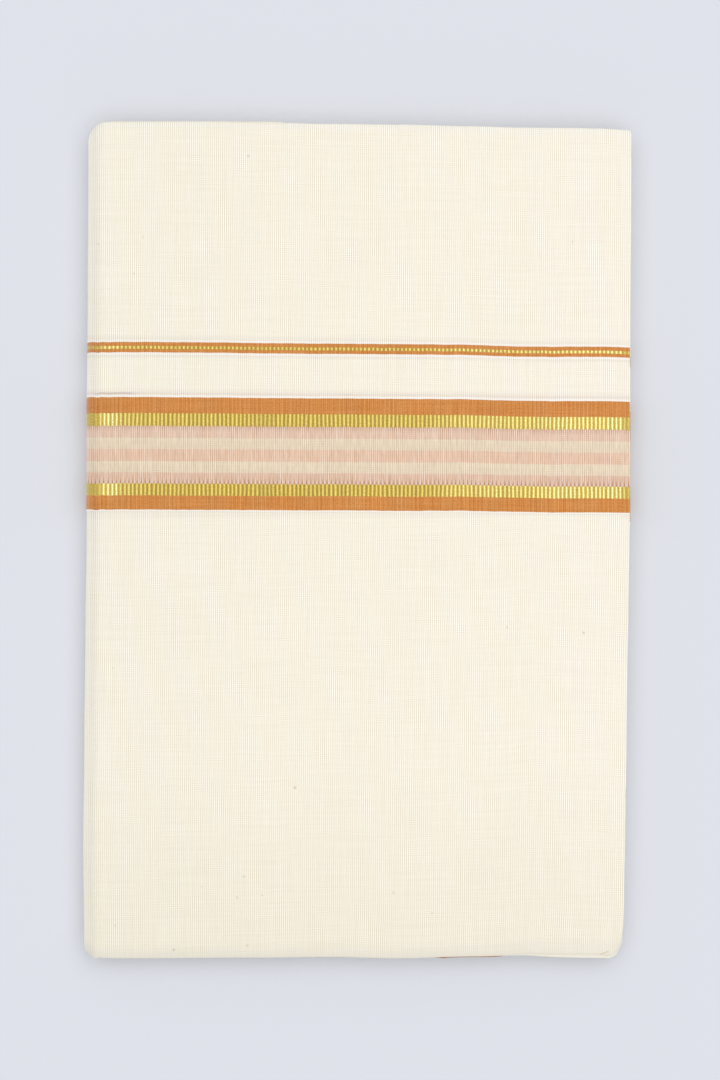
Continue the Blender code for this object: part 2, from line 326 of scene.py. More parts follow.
# How much further the flap reaches where the cloth was folded a little out of true
FLAP_DRIFT = (
    EdgeRow(along=0.004, out=0.0),
    EdgeRow(along=0.043, out=0.00060),
    EdgeRow(along=0.078, out=0.00003),
    EdgeRow(along=0.100, out=0.00006),
    EdgeRow(along=0.132, out=0.00020),
    EdgeRow(along=0.182, out=0.00020),
    EdgeRow(along=0.212, out=-0.00005),
    EdgeRow(along=0.226, out=0.00002),
    EdgeRow(along=0.232, out=0.00014),
    EdgeRow(along=0.250, out=0.0),
    EdgeRow(along=0.6, out=0.0),
    EdgeRow(along=1.8, out=0.0040),
    EdgeRow(along=3.0, out=0.0015),
)


def clamp(value):
    """The value, kept between 0 and 1."""
    return max(0.0, min(1.0, value))


def eased(share):
    """The share, with a soft start and a soft end."""
    return share * share * (3 - 2 * share)


def read_edge(rows, along):
    """How far an edge stands out at a place, eased from row to row."""
    if along <= rows[0].along:
        return rows[0].out
    for here, there in zip(rows, rows[1:]):
        if along <= there.along:
            share = (along - here.along) / (there.along - here.along)
            return here.out + (there.out - here.out) * eased(share)
    return rows[-1].out


def corner_drop(x, left, right):
    """How far an end edge has come back at x, and the height of the corner that it rounds."""
    for corner, reach in ((left, x + HALF_WIDTH), (right, HALF_WIDTH - x)):
        if reach < corner.wide:
            over = 1 - max(reach, 0.0) / corner.wide
            return corner.tall * (1 - (1 - over**corner.bend) ** (1 / corner.bend)), corner.tall
    return 0.0, 1.0


def round_corners(x, y):
    """Draws the cloth back where the corners round off."""
    top_drop, top_tall = corner_drop(x, TOP_LEFT, TOP_RIGHT)
    foot_drop, foot_tall = corner_drop(x, FOOT_LEFT, FOOT_RIGHT)
    near_top = eased(clamp(1 - (HALF_LENGTH - y) / (CORNER_YIELD * top_tall)))
    near_foot = eased(clamp(1 - (HALF_LENGTH + y) / (CORNER_YIELD * foot_tall)))
    return y - top_drop * near_top + foot_drop * near_foot


def end_rounding(y):
    """How much of its height the stack keeps as it rounds down at its top edge and its foot."""
    foot = clamp(1 - (HALF_LENGTH + y) / FOOT_END.reach)
    top = clamp(1 - (HALF_LENGTH - y) / TOP_END.reach)
    return 1 - FOOT_END.drop * foot**FOOT_END.power - TOP_END.drop * top**TOP_END.power


def soft_swell(x, y):
    """The slow unevenness of a pressed stack, as a share of its height."""
    long_wave = math.sin(x * 31 + y * 9 + 0.6) * math.sin(y * 17 - x * 6 + 1.1)
    short_wave = math.sin(x * 71 - y * 23) * math.sin(y * 47 + x * 19 + 2.0)
    return 1 + LONG_SWELL * long_wave + SHORT_SWELL * short_wave


def lay(x, y, z):
    """Moves a point of the straight fold to where it lies in the real one."""
    across = clamp((x + HALF_WIDTH) / FOLD_WIDTH)
    up = clamp((y + HALF_LENGTH) / FOLD_LENGTH)
    left = -read_edge(LEFT_EDGE, y)
    right = read_edge(RIGHT_EDGE, y)
    foot = -read_edge(FOOT_EDGE, x)
    top = read_edge(TOP_EDGE, x)
    height = FOOT_HEIGHT + (STACK_HEIGHT - FOOT_HEIGHT) * up
    height *= end_rounding(y) * soft_swell(x, y)
    drawn_y = round_corners(x, y)
    return Vector((
        x + left + (right - left) * across,
        drawn_y + foot * (1 - up) + top * up**TILT_POWER,
        z * height / STACK_HEIGHT,
    ))


# A place along the cloth. face and back are where the leaf's bordered face and its back are, across
# the fold. leaf_from, leaf_to and share say which leaves it lies between.
Station = namedtuple("Station", "along face back leaf_from leaf_to share")


def turn_point(start, reach, nest, half, middle, angle, side, fullness):
    """A point on a turn of the leaves, nest leaves in from the outside of its nest."""
    keep = 1 - nest / half
    cosine = math.cos(angle)
    sine = math.sin(angle)
    swell = (abs(cosine) ** fullness + abs(sine) ** fullness) ** (-1 / fullness)
    return (
        start + side * reach * keep * swell * cosine,
        LEAF * (middle + half * keep * swell * sine),
    )


def flat_station(number, x):
    """The bordered face and the back of a flat leaf at x. Every second leaf lies face down."""
    level = LEAF_ROWS[number].level
    low = LEAF * (LEAVES - level)
    if number % 2 == 0:
        return (x, low + LEAF), (x, low)
    return (x, low), (x, low + LEAF)


def even_steps(start, end, longest):
    """Places from start to just short of end, no further apart than longest."""
    spans = max(1, math.ceil(abs(end - start) / longest - 1e-6))
    return [start + (end - start) * step / spans for step in range(spans)]


def right_end(number):
    """Where the flat run of a leaf ends on the right."""
    if number == 0:
        return HALF_WIDTH
    if number == LEAVES - 1:
        return HALF_WIDTH + FREE_END_OUT
    turn = TURN_ROWS[(number - 1) // 2]
    return HALF_WIDTH + turn.edge - turn.reach


def walk_cloth(long_steps, turn_steps, edge_steps):
    """Every station of the cloth, from the free end on top to the one below it."""
    places = []
    for number in range(LEAVES):
        leftward = number % 2 == 0
        outer = right_end(number)
        run = [outer - reach for reach in edge_steps] if number in (0, LEAVES - 1) else [outer]
        run += even_steps(run.pop(), SPINE_START, long_steps(number))
        run = run if leftward else run[::-1]
        if not leftward:
            run = [SPINE_START] + run
        places += [(*flat_station(number, x), number, number, 0.0) for x in run]
        if number == LEAVES - 1:
            break
        places += turn_places(number, turn_steps(number))
    stations = []
    along = 0.0
    last = None
    for face, back, leaf_from, leaf_to, share in places:
        middle = Vector(((face[0] + back[0]) / 2, (face[1] + back[1]) / 2))
        if last is not None:
            along += (middle - last).length
        last = middle
        stations.append(Station(along, face, back, leaf_from, leaf_to, share))
    return stations


def turn_places(number, steps):
    """The places round the turn from one leaf to the next."""
    here = LEAF_ROWS[number].level
    there = LEAF_ROWS[number + 1].level
    upward = there < here
    if number % 2 == 0:
        nest, half, middle = SPINE_NESTS[number // 2], LEAVES // 2, LEAVES // 2
        start, reach, side, fullness = SPINE_START, SPINE_REACH, -1, SPINE_FULLNESS
    else:
        turn = TURN_ROWS[(number - 1) // 2]
        nest, half, middle = turn.nest, turn.half, turn.middle
        start, reach, side, fullness = right_end(number), turn.reach, 1, TURN_FULLNESS
    face_outside = upward == (number % 2 == 1)
    nests = (nest, nest + 1) if face_outside else (nest + 1, nest)
    places = []
    first = 0 if number % 2 == 0 else 1
    for step in range(first, steps):
        share = step / steps
        angle = math.pi * (share - 0.5) * (1 if upward else -1)
        face, back = (
            turn_point(start, reach, inward, half, middle, angle, side, fullness) for inward in nests
        )
        places.append((face, back, number, number + 1, eased(share)))
    return places


# A place across the cloth. part is the ply, or the crease between two plies, and share how far
# through it the place lies.
CrossRow = namedtuple("CrossRow", "part share")


def cross_rows(flap, second, third, fourth, crease_steps):
    """Rows for the four plies, whose shares are given, and for the creases between them."""
    rows = []
    for number, ply_shares in enumerate((flap, second, third, fourth)):
        rows += [CrossRow(2 * number, share) for share in ply_shares]
        if number < 3:
            rows += [CrossRow(2 * number + 1, step / crease_steps) for step in range(1, crease_steps)]
    return rows


def wave(level, x, turn):
    """The slow wander of one leaf's edge, different for every leaf."""
    first = math.sin(x * (23 + 3 * (level % 4)) + level * 2.3 + turn)
    second = math.sin(x * (61 + 5 * (level % 3)) + level * 4.1 + turn * 1.7)
    return LONG_WANDER * first + SHORT_WANDER * second


def edge_outs(station, x):
    """How far the leaf's creases and its last selvedge stand out at x."""
    outs = []
    for number in (station.leaf_from, station.leaf_to):
        row = LEAF_ROWS[number]
        if number == 0:
            outs.append((
                read_edge(FIRST_PLY_OUT, x),
                read_edge(THIRD_PLY_OUT, x),
                read_edge(LEAF_LIES_BACK, x),
                read_edge(FAR_BORDER_OUT, x) + read_edge(LEAF_LIES_BACK, x),
            ))
        else:
            top = row.top + wave(row.level, x, 0.0)
            foot = row.foot + wave(row.level, x, 2.0)
            third = row.top + wave(row.level, x, 4.0) - THIRD_PLY_BACK
            last = row.foot + wave(row.level, x, 5.0) - LAST_PLY_BACK
            outs.append((top, third, foot, last))
    near, far = outs
    return [a + (b - a) * station.share for a, b in zip(near, far)]


def fold_across(station, row, x):
    """Where a place across the cloth lies: its measure from the selvedge, its y and its depth."""
    reach = FLAP_REACH + read_edge(FLAP_DRIFT, station.along)
    first_out, third_out, foot_out, last_out = edge_outs(station, x)
    first_top = HALF_LENGTH + first_out - CREASE_BULGE
    foot = -HALF_LENGTH - foot_out + CREASE_BULGE
    second_top = HALF_LENGTH + third_out - CREASE_BULGE
    flap = reach + first_out
    last = HALF_LENGTH + reach + 2 * FOLD_LENGTH - CLOTH_WIDTH - last_out
    creases = (flap, flap + FOLD_LENGTH, flap + 2 * FOLD_LENGTH)
    half_crease = CREASE_CLOTH / 2
    runs = (
        (0.0, creases[0] - half_crease, HALF_LENGTH - reach, first_top),
        (creases[0] + half_crease, creases[1] - half_crease, first_top, foot),
        (creases[1] + half_crease, creases[2] - half_crease, foot, second_top),
        (creases[2] + half_crease, CLOTH_WIDTH, second_top, last),
    )
    number = row.part // 2
    if row.part % 2 == 0:
        low, high, start, end = runs[number]
        share = row.share
        return low + (high - low) * share, start + (end - start) * share, PLY_DEPTHS[number]
    edge = (first_top, foot, second_top)[number]
    outward = (1, -1, 1)[number]
    shallow, deep = PLY_DEPTHS[number], PLY_DEPTHS[number + 1]
    turn = math.pi * row.share
    return (
        creases[number] + CREASE_CLOTH * (row.share - 0.5),
        edge + outward * CREASE_BULGE * math.sin(turn),
        shallow + (deep - shallow) * (1 - math.cos(turn)) / 2,
    )


def folded_cloth(name, stations, rows):
    """A grid of cloth with a column for each station and a row for each place across, folded up."""
    cloth = bmesh.new()
    columns = len(stations) - 1
    lines = len(rows) - 1
    bmesh.ops.create_grid(cloth, x_segments=columns, y_segments=lines, size=1.0)
    cloth.verts.ensure_lookup_table()
    measures = {}
    for vert in cloth.verts:
        station = stations[round((vert.co.x + 1) / 2 * columns)]
        row = rows[round((vert.co.y + 1) / 2 * lines)]
        middle_x = (station.face[0] + station.back[0]) / 2
        from_selvedge, y, depth = fold_across(station, row, middle_x)
        x = station.face[0] + (station.back[0] - station.face[0]) * depth
        z = station.face[1] + (station.back[1] - station.face[1]) * depth
        measures[vert] = (station.along, from_selvedge)
        vert.co = lay(x, y, z)
    weave_map = cloth.loops.layers.uv.new("weave")
    for face in cloth.faces:
        for loop in face.loops:
            loop[weave_map].uv = measures[loop.vert]
    mesh = bpy.data.meshes.new(name)
    cloth.to_mesh(mesh)
    cloth.free()
    piece = bpy.data.objects.new(name, mesh)
    bpy.context.scene.collection.objects.link(piece)
    wall = piece.modifiers.new("ply", "SOLIDIFY")
    wall.thickness = PLY_THICKNESS
    wall.offset = 0.0
    wall.use_even_offset = False
    bpy.context.view_layer.update()
    graph = bpy.context.evaluated_depsgraph_get()
    solid = bpy.data.meshes.new_from_object(piece.evaluated_get(graph))
    piece.modifiers.clear()
    piece.data = solid
    solid.name = name
    bpy.data.meshes.remove(mesh)
    solid.shade_smooth()
    solid.set_sharp_from_angle(angle=math.radians(50))
    return piece


def shares(length, near_start, near_end, longest):
    """Places along a ply as shares of its length, close together at its two ends."""
    starts = [reach / length for reach in near_start]
    ends = [1 - reach / length for reach in near_end][::-1]
    middle = even_steps(starts[-1], ends[0], longest / length)
    return starts[:-1] + middle + ends


# Rows and columns of the cloth's grid lie close together at creases and edges, and further apart
# elsewhere. The stretch of the second ply that shows below the flap has rows of its own.
AT_CREASE = (0.0, 0.0003, 0.0007, 0.0012, 0.0019, 0.0028, 0.0040, 0.0056, 0.0078)
HIDDEN_CREASE = (0.0, 0.0010, 0.0030, 0.0070)
AT_SELVEDGE = (0.0, 0.0006, 0.0016)
AT_FREE_END = (0.0, 0.0004, 0.0012, 0.0026, 0.0050)

FLAP_ROW_STEP = 0.0028
SHOWN_ROW_STEP = 0.0030
COVERED_ROW_STEP = 0.009
UNDER_ROW_STEP = 0.012
SHOWN_FROM = FLAP_REACH - 0.004
SHOWN_LENGTH = FOLD_LENGTH - SHOWN_FROM
covered_rows = shares(FOLD_LENGTH, HIDDEN_CREASE, (SHOWN_LENGTH,), COVERED_ROW_STEP)[:-1]
shown_rows = shares(SHOWN_LENGTH, (0.0,), AT_CREASE, SHOWN_ROW_STEP)
outer_rows = cross_rows(
    flap=shares(FLAP_REACH, AT_SELVEDGE, AT_CREASE, FLAP_ROW_STEP),
    second=covered_rows + [(SHOWN_FROM + share * SHOWN_LENGTH) / FOLD_LENGTH for share in shown_rows],
    third=shares(FOLD_LENGTH, HIDDEN_CREASE, HIDDEN_CREASE, UNDER_ROW_STEP),
    fourth=shares(FOLD_LENGTH, HIDDEN_CREASE, AT_SELVEDGE, UNDER_ROW_STEP),
    crease_steps=5,
)
TOP_LEAF_STEP = 0.0040
UNDER_LEAF_STEP = 0.0080
OUTER_SPINE_STEPS = 26
OUTER_TURN_STEPS = 12
LEAVES_IN_OUTER = 2
outer_walk = walk_cloth(
    long_steps=lambda number: TOP_LEAF_STEP if number == 0 else UNDER_LEAF_STEP,
    turn_steps=lambda number: OUTER_SPINE_STEPS if number == 0 else OUTER_TURN_STEPS,
    edge_steps=AT_FREE_END,
)
first_inside = next(
    place for place, station in enumerate(outer_walk) if station.leaf_from == LEAVES_IN_OUTER
)
outer_leaf = folded_cloth("outer_leaf", outer_walk[: first_inside + 2], outer_rows)

# Woven border and ground. The ground is ivory cotton with thick and thin yarns. The border has bars
# of gold thread between orange bands, fine pink and cream stripes in the middle, and a thin stripe of
# its own further in. Measures run in millimetres from the selvedge.
StripeRow = namedtuple("StripeRow", "start end near far kind")

IVORY = (252, 245, 229)
SELVEDGE_WHITE = (253, 247, 239)
SELVEDGE_ROLL = (246, 240, 227)
SHADED_IVORY = (242, 231, 218)
FAINT_IVORY = (244, 236, 222)
ORANGE = (213, 143, 80)
GOLD = (214, 188, 99)
GOLD_SIDE_PINK = (224, 188, 162)
PINK = (233, 200, 177)
MIDDLE_PINK = (234, 198, 172)
TICKED_PINK = (231, 195, 172)
DEEP_PINK = (222, 185, 155)
CREAM = (236, 219, 192)
LOW_CREAM = (233, 213, 188)

SELVEDGE_HALF = (
    StripeRow(0.0, 0.25, SELVEDGE_ROLL, SELVEDGE_ROLL, "plain"),
    StripeRow(0.40, 0.78, SELVEDGE_WHITE, SELVEDGE_WHITE, "plain"),
    StripeRow(1.02, 6.82, ORANGE, ORANGE, "orange"),
    StripeRow(6.92, 11.90, GOLD, GOLD, "gold"),
    StripeRow(12.02, 16.50, DEEP_PINK, TICKED_PINK, "pink"),
    StripeRow(16.75, 21.30, LOW_CREAM, CREAM, "cream"),
    StripeRow(21.55, 26.40, MIDDLE_PINK, MIDDLE_PINK, "pink"),
)
INNER_HALF = (
    StripeRow(26.70, 31.20, LOW_CREAM, CREAM, "cream"),
    StripeRow(31.45, 34.60, PINK, PINK, "pink"),
    StripeRow(34.80, 36.30, PINK, GOLD_SIDE_PINK, "pink"),
    StripeRow(36.42, 41.70, GOLD, GOLD, "gold"),
    StripeRow(41.83, 48.42, ORANGE, ORANGE, "orange"),
    StripeRow(48.62, 49.40, SELVEDGE_WHITE, SELVEDGE_WHITE, "plain"),
    StripeRow(49.60, 52.60, SHADED_IVORY, IVORY, "plain"),
)
THIN_STRIPE = (
    StripeRow(54.00, 65.00, IVORY, IVORY, "plain"),
    StripeRow(65.80, 66.40, FAINT_IVORY, FAINT_IVORY, "plain"),
    StripeRow(66.75, 67.40, SELVEDGE_WHITE, SELVEDGE_WHITE, "plain"),
    StripeRow(67.68, 68.90, ORANGE, ORANGE, "orange"),
    StripeRow(69.10, 70.10, GOLD, GOLD, "gold"),
    StripeRow(70.34, 71.74, ORANGE, ORANGE, "orange"),
    StripeRow(71.95, 72.70, SELVEDGE_WHITE, SELVEDGE_WHITE, "plain"),
    StripeRow(72.90, 75.40, FAINT_IVORY, IVORY, "plain"),
)

# Each part of the border has a ramp of its own, so that its edges stay crisp
StripeCard = namedtuple("StripeCard", "start end stripes")
STRIPE_CARDS = (
    StripeCard(0.0, 26.55, SELVEDGE_HALF),
    StripeCard(26.55, 53.20, INNER_HALF),
    StripeCard(53.20, 76.00, THIN_STRIPE),
)

# Where each kind of yarn lies: gold in red, orange in green, and the fine yarns in blue, which are
# thinner in the cream stripes
CREAM_SHARE = 0.40
KIND_MASKS = {
    "plain": (0, 0, 0, 1),
    "gold": (1, 0, 0, 1),
    "orange": (0, 1, 0, 1),
    "pink": (0, 0, 1, 1),
    "cream": (0, 0, CREAM_SHARE, 1),
}


def maths(tree, operation, *values):
    """Adds a Math node on values or links and returns its result."""
    made = node(tree, "Math", dict(enumerate(values)), operation=operation)
    return made.outputs[0]


def times(tree, first, *others):
    """The product of any number of values or links."""
    for other in others:
        first = maths(tree, "MULTIPLY", first, other)
    return first


def blend(tree, amount, first, second, kind="MIX"):
    """Adds a Mix node for colours and returns its result."""
    made = node(tree, "Mix", {0: amount, 6: first, 7: second}, data_type="RGBA", blend_type=kind)
    return made.outputs[2]


def tinted(tree, amount, first, second):
    """Multiplies one colour by another, as far as amount says."""
    return blend(tree, amount, first, second, "MULTIPLY")


def spread_out(tree, value, low, high, to_low=0.0, to_high=1.0):
    """Stretches a span of values to another span, and stops at its ends."""
    made = node(
        tree,
        "MapRange",
        {"Value": value, "From Min": low, "From Max": high, "To Min": to_low, "To Max": to_high},
    )
    return made.outputs[0]


def between(tree, value, start, end, soft):
    """1 from start to end, and 0 further than soft outside them."""
    rise = spread_out(tree, value, start - soft, start)
    fall = spread_out(tree, value, end, end + soft, 1.0, 0.0)
    return times(tree, rise, fall)


def ramp_of(tree, position, stops):
    """A colour ramp with the given places and colours."""
    ramp = node(tree, "ValToRGB", {"Fac": position})
    made = ramp.color_ramp.elements
    while len(made) < len(stops):
        made.new(1.0)
    for stop, (place, colour) in zip(made, stops):
        stop.position = place
        stop.color = colour
    return ramp.outputs["Color"]


cotton = bpy.data.materials.new("bordered_cotton")
cotton.use_nodes = True
tree = cotton.node_tree
cotton_shader = tree.nodes["Principled BSDF"]

weave_place = node(tree, "UVMap", uv_map="weave").outputs["UV"]
cloth_measures = node(tree, "SeparateXYZ", {"Vector": weave_place})
along_cloth = cloth_measures.outputs["X"]
across_cloth = cloth_measures.outputs["Y"]


def streaks(tree, along_scale, across_scale, detail=2.0, offset=0.0):
    """Noise drawn out into threads of the weave, from 0 to 1 with its middle at 0.5."""
    start = (offset, offset * 0.7, 0)
    scale = (along_scale, across_scale, 1)
    stretch = node(tree, "Mapping", {"Vector": weave_place, "Location": start, "Scale": scale})
    noise = node(
        tree,
        "TexNoise",
        {"Vector": stretch.outputs[0], "Scale": 1.0, "Detail": detail, "Roughness": 0.6},
        noise_dimensions="2D",
    )
    return noise.outputs["Fac"]


# The measure from the nearer selvedge, a little unsteady as the yarn was beaten in. The far selvedge
# has no white edge, so its border starts at once.
FAR_EDGE_CUT = 0.0011
BEAT_REACH = 0.00008
from_far_edge = maths(tree, "SUBTRACT", CLOTH_WIDTH + FAR_EDGE_CUT, across_cloth)
from_edge = maths(tree, "MINIMUM", across_cloth, from_far_edge)
beat = streaks(tree, 160, 3, 1.0)
beat_shift = spread_out(tree, beat, 0.25, 0.75, -BEAT_REACH, BEAT_REACH)
stripe_place = times(tree, maths(tree, "ADD", from_edge, beat_shift), 1000)

stripes = None
for card in STRIPE_CARDS:
    on_card = spread_out(tree, stripe_place, card.start, card.end)
    colour_stops = []
    mask_stops = []
    for row in card.stripes:
        for measure, colour in ((row.start, row.near), (row.end, row.far)):
            place = (measure - card.start) / (card.end - card.start)
            colour_stops.append((place, dye(*colour)))
            mask_stops.append((place, KIND_MASKS[row.kind]))
    card_colours = ramp_of(tree, on_card, colour_stops)
    card_masks = ramp_of(tree, on_card, mask_stops)
    if stripes is None:
        stripes, stripe_masks = card_colours, card_masks
    else:
        past = maths(tree, "GREATER_THAN", stripe_place, card.start)
        stripes = blend(tree, past, stripes, card_colours)
        stripe_masks = blend(tree, past, stripe_masks, card_masks)
masks = node(tree, "SeparateColor", {"Color": stripe_masks})
is_gold, is_orange, is_fine = (masks.outputs[number] for number in range(3))

# Ribs stand along the border at a steady pitch, as bars of gold thread and as faint ones in the
# orange. The dents of the reed leave lines at about half that pitch through the whole cloth.
RIB_PITCH = 0.00175
REED_PITCH = 0.000885
RIB_WANDER = 0.00024
FULL_TURN = 2 * math.pi
rib_wander = streaks(tree, 110, 45, 2.0, 3.1)
rib_wander = spread_out(tree, rib_wander, 0.2, 0.8, -RIB_WANDER, RIB_WANDER)
rib_place = maths(tree, "ADD", along_cloth, rib_wander)
rib_wave = maths(tree, "SINE", times(tree, rib_place, FULL_TURN / RIB_PITCH))
reed_wave = maths(tree, "SINE", times(tree, along_cloth, FULL_TURN / REED_PITCH))

# Gold thread, in bars. Along the top leaf the rows say how much painted glint it has, a painted highlight
# on the cores of the bars, how clear its bars are and how bright it is. Where the glint is painted the gold
# is also a richer yellow.
LustreRow = namedtuple("LustreRow", "along glint bars tone")
LUSTRE = (
    LustreRow(along=0.0000, glint=0.00, bars=0.30, tone=0.93),
    LustreRow(along=0.0020, glint=0.05, bars=0.45, tone=0.95),
    LustreRow(along=0.0036, glint=0.90, bars=1.00, tone=1.00),
    LustreRow(along=0.0300, glint=0.80, bars=1.00, tone=1.00),
    LustreRow(along=0.0400, glint=0.50, bars=1.00, tone=1.00),
    LustreRow(along=0.0720, glint=0.45, bars=1.00, tone=1.00),
    LustreRow(along=0.0850, glint=0.08, bars=1.00, tone=0.99),
    LustreRow(along=0.1500, glint=0.00, bars=1.00, tone=0.99),
    LustreRow(along=0.1536, glint=0.00, bars=0.80, tone=0.92),
    LustreRow(along=0.1560, glint=0.00, bars=0.80, tone=0.92),
    LustreRow(along=0.1600, glint=0.00, bars=1.00, tone=1.00),
    LustreRow(along=0.2050, glint=0.06, bars=1.00, tone=1.00),
    LustreRow(along=0.2160, glint=0.30, bars=1.00, tone=1.00),
    LustreRow(along=0.2183, glint=1.00, bars=1.00, tone=1.00),
    LustreRow(along=0.2234, glint=1.00, bars=1.00, tone=1.00),
    LustreRow(along=0.2248, glint=0.00, bars=0.22, tone=1.00),
    LustreRow(along=0.2340, glint=0.00, bars=0.22, tone=1.00),
    LustreRow(along=0.2420, glint=0.15, bars=0.90, tone=1.00),
)
LUSTRE_LENGTH = 0.2480
lustre_stops = [(row.along / LUSTRE_LENGTH, (row.glint, row.bars, row.tone, 1.0)) for row in LUSTRE]
lustre = ramp_of(tree, maths(tree, "DIVIDE", along_cloth, LUSTRE_LENGTH), lustre_stops)
lustre_parts = node(tree, "SeparateColor", {"Color": lustre})
glint, bars, gold_tone = (lustre_parts.outputs[number] for number in range(3))

GOLD_SHADE = dye(178, 143, 40)
GOLD_LIGHT = dye(238, 213, 104)
# Colour of the painted highlight on the cores of the gold bars
GOLD_PAINTED_GLINT = dye(255, 253, 186)
GOLD_RICH = (1.01, 0.99, 0.84, 1.0)
OUTER_GOLD = (0.955, 0.945, 0.88, 1.0)
BAR_LIFT = 0.38
rib_bar = spread_out(tree, rib_wave, -0.60, 0.95)
bar_now = maths(tree, "ADD", 0.5, times(tree, maths(tree, "SUBTRACT", rib_bar, 0.5), bars))
bar_now = maths(tree, "ADD", bar_now, times(tree, glint, BAR_LIFT))
gold_yarn = blend(tree, bar_now, GOLD_SHADE, GOLD_LIGHT)
gold_yarn = tinted(tree, glint, gold_yarn, GOLD_RICH)
bar_core = spread_out(tree, rib_wave, 0.22, 0.95)
gold_yarn = blend(tree, times(tree, bar_core, glint), gold_yarn, GOLD_PAINTED_GLINT)
grain = streaks(tree, 1700, 1500, 1.0, 6.6)
gold_grain = spread_out(tree, grain, 0.28, 0.72, 0.82, 1.18)
bar_by_bar = spread_out(tree, streaks(tree, 420, 12, 1.0, 25.2), 0.3, 0.7, 0.93, 1.07)
gold_yarn = tinted(tree, 1.0, gold_yarn, times(tree, gold_grain, bar_by_bar, gold_tone))
near_selvedge = maths(tree, "LESS_THAN", stripe_place, 20.0)
outer_bars = times(tree, near_selvedge, spread_out(tree, glint, 0.5, 0.0))
gold_yarn = tinted(tree, outer_bars, gold_yarn, OUTER_GOLD)
coloured = blend(tree, is_gold, stripes, gold_yarn)

# Threads that several of the stripes and the ground share
upright = streaks(tree, 1150, 38, 2.0, 7.3)
level_yarn = streaks(tree, 30, 1250, 2.0, 11.9)

# Orange bands, with faint ribs, and deeper and paler yarns. They have painted shade where they roll
# over the spine.
DEEP_ORANGE = dye(200, 120, 36)
PALE_ORANGE = dye(224, 152, 82)
ORANGE_SPINE_PAINTED_SHADE = (0.96, 0.95, 0.98, 1.0)
orange_mix = times(tree, rib_wave, 0.16)
for yarn, share in ((grain, 1.3), (upright, 1.2), (level_yarn, 0.6)):
    orange_mix = maths(tree, "ADD", orange_mix, times(tree, yarn, share))
orange_yarn = blend(tree, spread_out(tree, orange_mix, 1.05, 2.05), DEEP_ORANGE, PALE_ORANGE)
orange_spine_shade = between(tree, along_cloth, 0.2246, 0.2330, 0.0020)
orange_yarn = tinted(tree, orange_spine_shade, orange_yarn, ORANGE_SPINE_PAINTED_SHADE)
coloured = blend(tree, is_orange, coloured, orange_yarn)

# Fine stripes, crossed by pale and by dark threads that stand upright in the dents of the reed
PALE_THREAD = dye(252, 240, 226)
DARK_THREAD = (0.84, 0.70, 0.62, 1.0)
pale_patches = spread_out(tree, streaks(tree, 640, 62, 1.0, 9.1), 0.44, 0.72, 0.0, 0.44)
dark_patches = spread_out(tree, streaks(tree, 700, 70, 1.0, 17.3), 0.42, 0.70, 0.0, 0.70)
pale_lines = times(tree, pale_patches, spread_out(tree, reed_wave, -0.1, 0.9))
dark_lines = times(tree, dark_patches, spread_out(tree, reed_wave, 0.1, -0.9))
mottle = spread_out(tree, streaks(tree, 1500, 170, 2.0, 30.3), 0.27, 0.73, 0.915, 1.085)
coloured = blend(tree, times(tree, is_fine, pale_lines), coloured, PALE_THREAD)
coloured = tinted(tree, times(tree, is_fine, dark_lines), coloured, DARK_THREAD)
coloured = tinted(tree, spread_out(tree, is_fine, 0.0, CREAM_SHARE), coloured, mottle)

# Where the gold bars end on the pink, their threads float on for 2 or 3 mm: as brown points above
# the lower bars, with pale lilac between them, and as small dark lines below the upper bars.
TICK_BROWN = dye(180, 110, 68)
TICK_LILAC = dye(236, 214, 207)
HUNG_BROWN = dye(178, 128, 112)
tick_reach = spread_out(tree, streaks(tree, 520, 30, 1.0, 33.9), 0.3, 0.7, 0.75, 1.3)
tick_height = spread_out(tree, stripe_place, 11.95, 14.70)
tick_height = maths(tree, "DIVIDE", tick_height, tick_reach)
tick_zone = between(tree, stripe_place, 11.97, 15.60, 0.06)
tick_width = maths(tree, "SUBTRACT", rib_wave, spread_out(tree, tick_height, 0, 1, 0.32, 1.0))
brown_points = times(tree, spread_out(tree, tick_width, 0.0, 0.40), tick_zone, 0.72)
lilac_zone = times(tree, tick_zone, spread_out(tree, tick_height, 0.30, 1.0, 1.0, 0.0))
lilac_points = times(tree, spread_out(tree, rib_wave, -0.05, -0.70), lilac_zone, 0.62)
coloured = blend(tree, lilac_points, coloured, TICK_LILAC)
coloured = blend(tree, brown_points, coloured, TICK_BROWN)
hung_zone = between(tree, stripe_place, 35.1, 36.36, 1.3)
hung_patches = spread_out(tree, streaks(tree, 480, 40, 1.0, 36.7), 0.3, 0.7, 0.15, 0.60)
hung_lines = times(tree, spread_out(tree, reed_wave, -0.1, -0.8), hung_zone, hung_patches)
coloured = blend(tree, hung_lines, coloured, HUNG_BROWN)

# A thin line of brown-violet dashes where the reed pressed the yarn above the wide band
DASH_VIOLET = dye(186, 162, 158)
dash_zone = between(tree, stripe_place, 49.90, 50.35, 0.42)
dash_near_spine = between(tree, along_cloth, 0.2120, 0.2240, 0.005)
dash_patches = spread_out(tree, streaks(tree, 55, 20, 2.0, 13.7), 0.50, 0.72, 0.12, 0.34)
dash_amount = maths(tree, "MAXIMUM", dash_near_spine, dash_patches)
dash_beat = spread_out(tree, reed_wave, -0.6, 0.7, 0.55, 1.0)
dash_amount = times(tree, dash_zone, dash_amount, dash_beat)
coloured = blend(tree, times(tree, dash_amount, 0.66), coloured, DASH_VIOLET)

